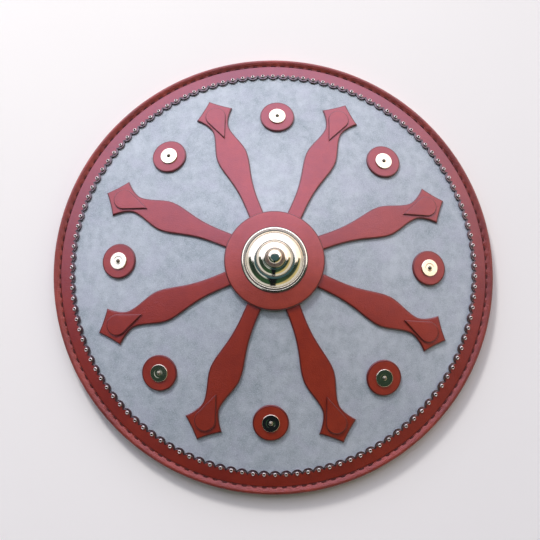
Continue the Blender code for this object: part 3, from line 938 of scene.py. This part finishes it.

# %% [markdown]
# ## The boss
#
# On the disc stands the boss, spun from one sheet of brass: a small knob on a steep neck, two swelling
# steps with one groove between them, a steep foot, and a thin flange with a line in it. A spun boss is
# truly round, so a finely turned profile is the whole of it. The neck, the groove and parts of the flange
# are painted darker and duller, as painted shade, and the cut rim near black, as painted shadow.

# %% Boss
BOSS_RADIUS = 0.043
FLANGE_WIDTH = 0.0062
BOSS_SHEET = 0.0012
# Width of the boss's rim that is painted near black, as painted shadow.
RIM_PAINTED_SHADOW = 0.00135
boss_low, boss_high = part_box("brass_boss")
boss_seat = float(boss_low.z)
foot_radius = BOSS_RADIUS - FLANGE_WIDTH
flange_top = float(face_height(foot_radius)) + 3 * GAP + 2 * LEATHER + BOSS_SHEET
body = float(boss_high.z) - flange_top


def boss_point(share_out, share_up, rounding=0.0):
    """A point of the boss as shares of its foot's radius and of its body's height."""
    return (foot_radius * share_out, flange_top + body * share_up, rounding)


body_shares = [
    (0, 1), (0.075, 0.9985, 0.0020), (0.172, 0.982, 0.0025), (0.222, 0.930, 0.0010),
    (0.248, 0.860, 0.0008), (0.332, 0.612, 0.0012), (0.370, 0.570, 0.0010), (0.435, 0.554, 0.0014),
    (0.505, 0.504, 0.0020), (0.560, 0.430, 0.0020), (0.618, 0.316, 0.0004), (0.632, 0.302, 0.0003),
    (0.652, 0.304, 0.0005), (0.731, 0.287, 0.0020), (0.815, 0.239, 0.0030), (0.880, 0.178, 0.0030),
    (0.935, 0.091, 0.0020), (0.978, 0.002, 0.0006),
]
flange_points = [
    (foot_radius, flange_top - 0.0006, 0.0005),
    (foot_radius + 0.0007, flange_top - 0.0001, 0.0004),
    (foot_radius + 0.0026, flange_top - 0.0005, 0.0003),
    (foot_radius + 0.0030, flange_top - 0.0008, 0.0002),
    (foot_radius + 0.0034, flange_top - 0.0006, 0.0003),
    (BOSS_RADIUS - 0.0010, flange_top - 0.0010, 0.0003),
    (BOSS_RADIUS - 0.0002, boss_seat + 0.0003, 0.0003),
    (BOSS_RADIUS, boss_seat),
    (foot_radius - BOSS_SHEET, flange_top - BOSS_SHEET, 0.0010),
]
inner_shares = [(0.68, 0.20, 0.0030), (0.38, 0.47, 0.0030), (0.20, 0.78, 0.0030), (0, 0.90)]
outside = [boss_point(*shares) for shares in body_shares]
inside = [boss_point(*shares) for shares in inner_shares]
boss_profile = rounded(outside + flange_points + inside, 6)
boss_rim = boss_profile.index(max(boss_profile))
# From where to where each ring of painted shade reaches, as shares of the foot's radius.
painted_shade_rings = [(0.246, 0.345), (0.618, 0.650), (0.985, 1.003), (1.022, 1.085), (1.134, 1.200)]
boss_rows = []
for k, (radius, _) in enumerate(boss_profile[:-1]):
    in_ring = any(low < radius / foot_radius < high for low, high in painted_shade_rings)
    at_rim = radius > BOSS_RADIUS - RIM_PAINTED_SHADOW
    # Painted shadow: the cut rim gets the near-black metal. Painted shade: the rings get the darker
    # brass.
    boss_rows.append(0 if k >= boss_rim else 2 if at_rim else int(in_ring))
boss_mesh = turned("boss", boss_profile, 192, boss_rows)
show("boss", boss_mesh, [brass, dull_brass_painted_shade, near_black_painted_shade], "brass", "brass_boss")
print("boss:", len(boss_mesh.polygons), "faces, body", round(body, 4), "m high")

# %% [markdown]
# ## Straps and rivets on the back
#
# Two straps cross the hollow: a broad one that the forearm goes through and a narrow one for the hand.
# Each is a flat strip with rounded edges that hangs in a slack bow between two tabs, held by domed
# rivets. The strip is a tube with a flat, rounded section that follows the bow.

# %% Straps
TAB = 0.016
STRAP = 0.004
STRAP_CORNER = 0.007
# Each strap: its name, its place along X, width, span and bow, and the solid that it stands for.
STRAPS = [("broad_strap", -0.090, 0.040, 0.150, 0.036, "forearm_strap"),
          ("narrow_strap", 0.085, 0.028, 0.136, 0.034, "hand_grip")]


def strap(name, place, width, span, bow, node):
    """A strap across the back that hangs down by its bow between two tabs."""
    loop = span / 2 - TAB
    stations = np.concatenate([np.linspace(-span / 2, -loop, 9), np.linspace(-loop, loop, 41)[1:-1],
                               np.linspace(loop, span / 2, 9)])
    around = np.arange(20) * math.tau / 20
    flat = np.sign(np.cos(around)) * np.abs(np.cos(around)) ** 0.35
    thick = np.sign(np.sin(around)) * np.abs(np.sin(around)) ** 0.8
    rows = []
    for y in stations:
        from_end = span / 2 - abs(y)
        cut = STRAP_CORNER - math.sqrt(max(0, STRAP_CORNER ** 2 - max(0, STRAP_CORNER - from_end) ** 2))
        half = width / 2 - cut
        x = place + half * flat
        sag = bow * ease(1 - min(1, abs(y) / loop))
        top = board_underside(np.hypot(x, y)) - GAP - sag
        rows.append(np.stack([x, np.full_like(x, y), top - STRAP / 2 + STRAP / 2 * thick], -1))
    return show(name, skin(name, np.array(rows)), [strap_leather], "strap_leather", node)


for row in STRAPS:
    print(strap(*row).name, "at x =", row[1])

# %% Rivets
rivet_profile = rounded([(0, 0), (0.006, 0, 0.0003), (0.0058, -0.0007, 0.0004), (0.0040, -0.0020, 0.0012),
                         (0, -0.0026)])
rivet_mesh = turned("rivet", rivet_profile, 28)
rivet_places = [(place, end * (span - TAB) / 2) for _, place, _, span, _, _ in STRAPS for end in (-1, 1)]
for number, (x, y) in enumerate(rivet_places, 1):
    radius = math.hypot(x, y)
    spot = Vector((x, y, float(board_underside(radius)) - STRAP - 2 * GAP))
    turn = Euler((0, face_slope(radius), math.atan2(y, x))).to_matrix().to_4x4()
    rivet = rivet_mesh.copy()
    rivet.transform(Matrix.Translation(spot) @ turn)
    show(f"rivet_{number}", rivet, [iron], "iron", f"strap_rivet_{number}")
print("rivets:", len(rivet_places))

# %% [markdown]
# ## The floor
#
# The shield lies on a plain pale floor, half a millimetre below its foot, so that the two never share a
# plane.

# %% Floor


def make_floor():
    """A pale matt floor with a faint tone."""
    finish = new_finish("pale_floor")
    place = finish.place()
    tone = finish.noise(place, 3, 3.0)
    colour = finish.blend(tone, (0.93, 0.92, 0.89), (0.97, 0.96, 0.93))
    return finish.surface(Base_Color=colour, Roughness=0.8)


floor_mesh = bpy.data.meshes.new("floor")
floor_mesh.from_pydata([(-8, -8, 0), (8, -8, 0), (8, 8, 0), (-8, 8, 0)], [], [(0, 1, 2, 3)])
floor_mesh.materials.append(make_floor())
floor = bpy.data.objects.new("floor", floor_mesh)
floor.location.z = -0.0005
bpy.context.scene.collection.objects.link(floor)
print("floor:", tuple(floor.dimensions))

# %% [markdown]
# ## The key lamp
#
# Flat leather gets its shape from small shadows under its rims. A small soft panel high at the upper left
# draws them. Nothing mirrors it, because a square lamp in the brass would look like a studio.

# %% Key lamp
KEY_CORNER = Vector((-1.10, 1.90, 1.85))
KEY_ALONG = Vector((0.45, 0.16, 0))
KEY_UP = Vector((0, 0.28, -0.30))
KEY_RADIANCE = 76.0
key_light = bpy.data.lights.new("key", "AREA")
key_light.shape = "RECTANGLE"
key_light.size, key_light.size_y = KEY_ALONG.length, KEY_UP.length
key_light.energy = KEY_RADIANCE * math.pi * KEY_ALONG.length * KEY_UP.length
key_light.color = (1.0, 0.97, 0.96)
key_lamp = bpy.data.objects.new("key", key_light)
key_middle = KEY_CORNER + (KEY_ALONG + KEY_UP) / 2
key_x, key_y = KEY_ALONG.normalized(), KEY_UP.normalized()
key_z = key_x.cross(key_y)
# A lamp shines along its -Z, so +Z has to point away from the shield.
if key_z.dot(key_middle) < 0:
    key_x, key_z = -key_x, -key_z
key_turn = Matrix((key_x, key_y, key_z)).transposed().to_4x4()
key_lamp.matrix_world = Matrix.Translation(key_middle) @ key_turn
key_lamp.visible_camera = False
key_lamp.visible_glossy = False
bpy.context.scene.collection.objects.link(key_lamp)
print("key lamp:", [round(v, 2) for v in key_middle], "of", round(key_light.energy, 1), "W")

# %% [markdown]
# ## The surroundings
#
# Brass looks like brass only when it has something to mirror. The surroundings are a bright sky over the
# top half, warmer at the right, and dark green ground under it, with some lawn, a sunny patch at the
# lower right and a bright strip low down. A level skyline draws the line between white and dark in the
# boss, with a dark stand in its middle. All of it is arithmetic on the direction. It is mirrored in full,
# but is a little weaker as daylight.

# %% Surroundings
DAYLIGHT = 0.62


def make_surroundings():
    """A world made from the direction: sky, ground, lawn and a dark stand, behind a pale backdrop."""
    air = Finish(bpy.data.worlds.new("surroundings"))
    direction = air.node("TexCoord", output="Generated")
    x, y, z = [air.node("SeparateXYZ", None, {0: direction}, axis) for axis in "XYZ"]
    ragged = air.noise(direction, 9.0, 4.0) * 0.05
    skyline = air.between(x * x, 0.50, 0.60) * 0.12 + ragged
    above = air.between(y - skyline, 0.05, 0.08)
    glow = air.between(y + z * 0.25, 0.10, 0.90)
    sky = air.blend(glow, (1.10, 1.15, 1.35), (2.50, 2.45, 2.95))
    sky = air.blend(air.between(x, 0.32, 0.62) * 0.8, sky, (1.90, 1.52, 1.25))
    leaves = air.between(air.noise(direction, 5.0, 4.0), 0.35, 0.70)
    ground = air.blend(leaves, (0.014, 0.024, 0.022), (0.050, 0.085, 0.064))
    lawn = air.between(y, -0.30, -0.60)
    ground = air.blend(lawn * 0.7, ground, (0.035, 0.095, 0.045))
    pale = air.between(-0.08 - x, 0.0, 0.10) * air.between(z, 0.86, 0.93)
    ground = air.blend(pale * 0.9, ground, (0.80, 0.86, 0.90))
    sunny = air.between(x * 0.8 - y * 0.6 - z * 0.6, 0.28, 0.50)
    ground = air.blend(sunny, ground, (0.62, 0.52, 0.26))
    low = air.between(z, 0.16, 0.06)
    ground = air.blend(low, ground, (0.85, 0.86, 0.88))
    around = air.blend(above, ground, sky)
    stand = air.between((x + 0.04) * (x + 0.04), 0.022, 0.012) * air.between(y, 0.10, 0.02)
    case = air.between(x * x * 0.5 + (y - 0.05) * (y - 0.05), 0.085, 0.065) * air.between(z, 0.50, 0.60)
    around = air.blend(stand, around, (0.008, 0.010, 0.014))
    around = air.blend(case, around, (0.055, 0.120, 0.150))
    mirrored = air.node("LightPath", output="Is Glossy Ray")
    strength = DAYLIGHT + mirrored * (1 - DAYLIGHT)
    lit = air.node("Background", None, {"Color": around, "Strength": strength})
    seen = air.node("Background", None, {"Color": (0.95, 0.96, 0.98)})
    camera_ray = air.node("LightPath", output="Is Camera Ray")
    shader = air.node("MixShader", None, {0: camera_ray, 1: lit, 2: seen})
    air.node("OutputWorld", None, {"Surface": shader})
    return air.block


bpy.context.scene.world = make_surroundings()
bpy.context.scene.view_settings.view_transform = "Standard"
print("world:", bpy.context.scene.world.name)

# %% [markdown]
# ## The camera
#
# The shield is seen from nearly straight above, a little from its foot. The camera stands about a metre
# off, so near pieces look slightly larger than far ones. Its lens comes from a focal length in pixels.

# %% Camera
PICTURE_WIDTH = 540
ELEVATION = math.radians(81)
AZIMUTH = math.radians(-4)
ROLL = math.radians(1.2)
DISTANCE = 0.955
FOCAL_PIXELS = 688
back = Vector((math.cos(ELEVATION) * math.sin(AZIMUTH), -math.cos(ELEVATION) * math.cos(AZIMUTH),
               math.sin(ELEVATION)))
right = Vector((0, 1, 0)).cross(back).normalized()
upward = back.cross(right)
camera_data = bpy.data.cameras.new("camera")
camera_data.sensor_width = 36
camera_data.lens = FOCAL_PIXELS / PICTURE_WIDTH * camera_data.sensor_width
camera = bpy.data.objects.new("camera", camera_data)
level = Matrix((right, upward, back)).transposed()
aim = Euler((math.radians(-0.11), math.radians(0.31), 0)).to_matrix()
camera.matrix_world = Matrix.Translation(back * DISTANCE) @ (
    level @ Matrix.Rotation(ROLL, 3, "Z") @ aim).to_4x4()
bpy.context.scene.collection.objects.link(camera)
bpy.context.scene.camera = camera
print("camera:", [round(x, 3) for x in camera.location], "lens", round(camera_data.lens, 1), "mm")
